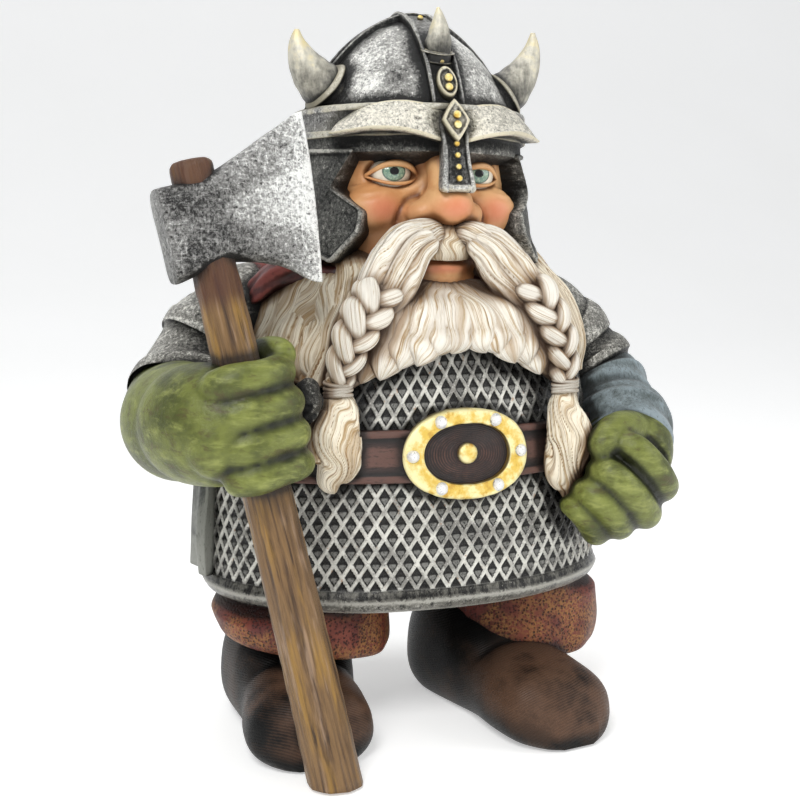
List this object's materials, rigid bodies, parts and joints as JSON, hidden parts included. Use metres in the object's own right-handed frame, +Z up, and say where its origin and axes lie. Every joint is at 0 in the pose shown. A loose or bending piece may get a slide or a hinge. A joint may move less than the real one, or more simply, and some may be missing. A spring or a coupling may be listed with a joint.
{
  "type": "garden gnome statue",
  "caption": "Standing garden gnome in a horned helmet and mail shirt, with a plaited beard, one closed fist, and a long axe held upright in the other.",
  "frame": {"origin": "middle of the footprint's bounding box, on the ground under the boots", "axes": "+Z up, the figure faces -Y, and its right hand with the axe is on the -X side"},
  "size_m": [0.2956, 0.2018, 0.36],
  "materials": {
    "painted_resin": "hand-painted cast resin, matt",
    "painted_axe": "hand-painted cast resin, matt"
  },
  "bodies": {
    "root": {"gnome_figure": "painted_resin", "axe": "painted_axe"}
  },
  "joints": []
}
